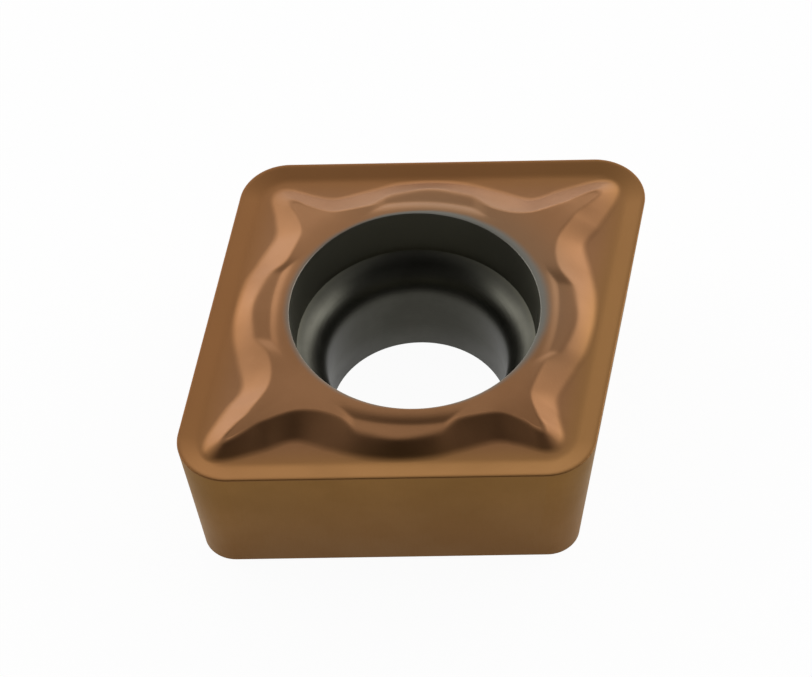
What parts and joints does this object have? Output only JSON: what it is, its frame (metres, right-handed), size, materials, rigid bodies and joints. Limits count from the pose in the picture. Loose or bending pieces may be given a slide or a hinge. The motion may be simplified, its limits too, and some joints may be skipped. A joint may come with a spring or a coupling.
{
  "type": "carbide cutting insert",
  "caption": "Rhombic positive cutting insert with rounded corners, clearance flanks, a pressed chipbreaker round its top and a countersunk hole for a clamping screw.",
  "frame": {"origin": "centre of the seat face, on the axis of the screw hole", "axes": "+X along the front cutting edge, +Y towards the back edge, +Z along the screw hole, from the seat to the chipbreaker"},
  "size_m": [0.0072, 0.0064, 0.0025],
  "materials": {
    "coated_carbide": "matte copper-brown coating on sintered carbide; the screw hole is bare ground carbide, dark grey"
  },
  "bodies": {
    "root": {"insert": "coated_carbide"}
  },
  "joints": []
}
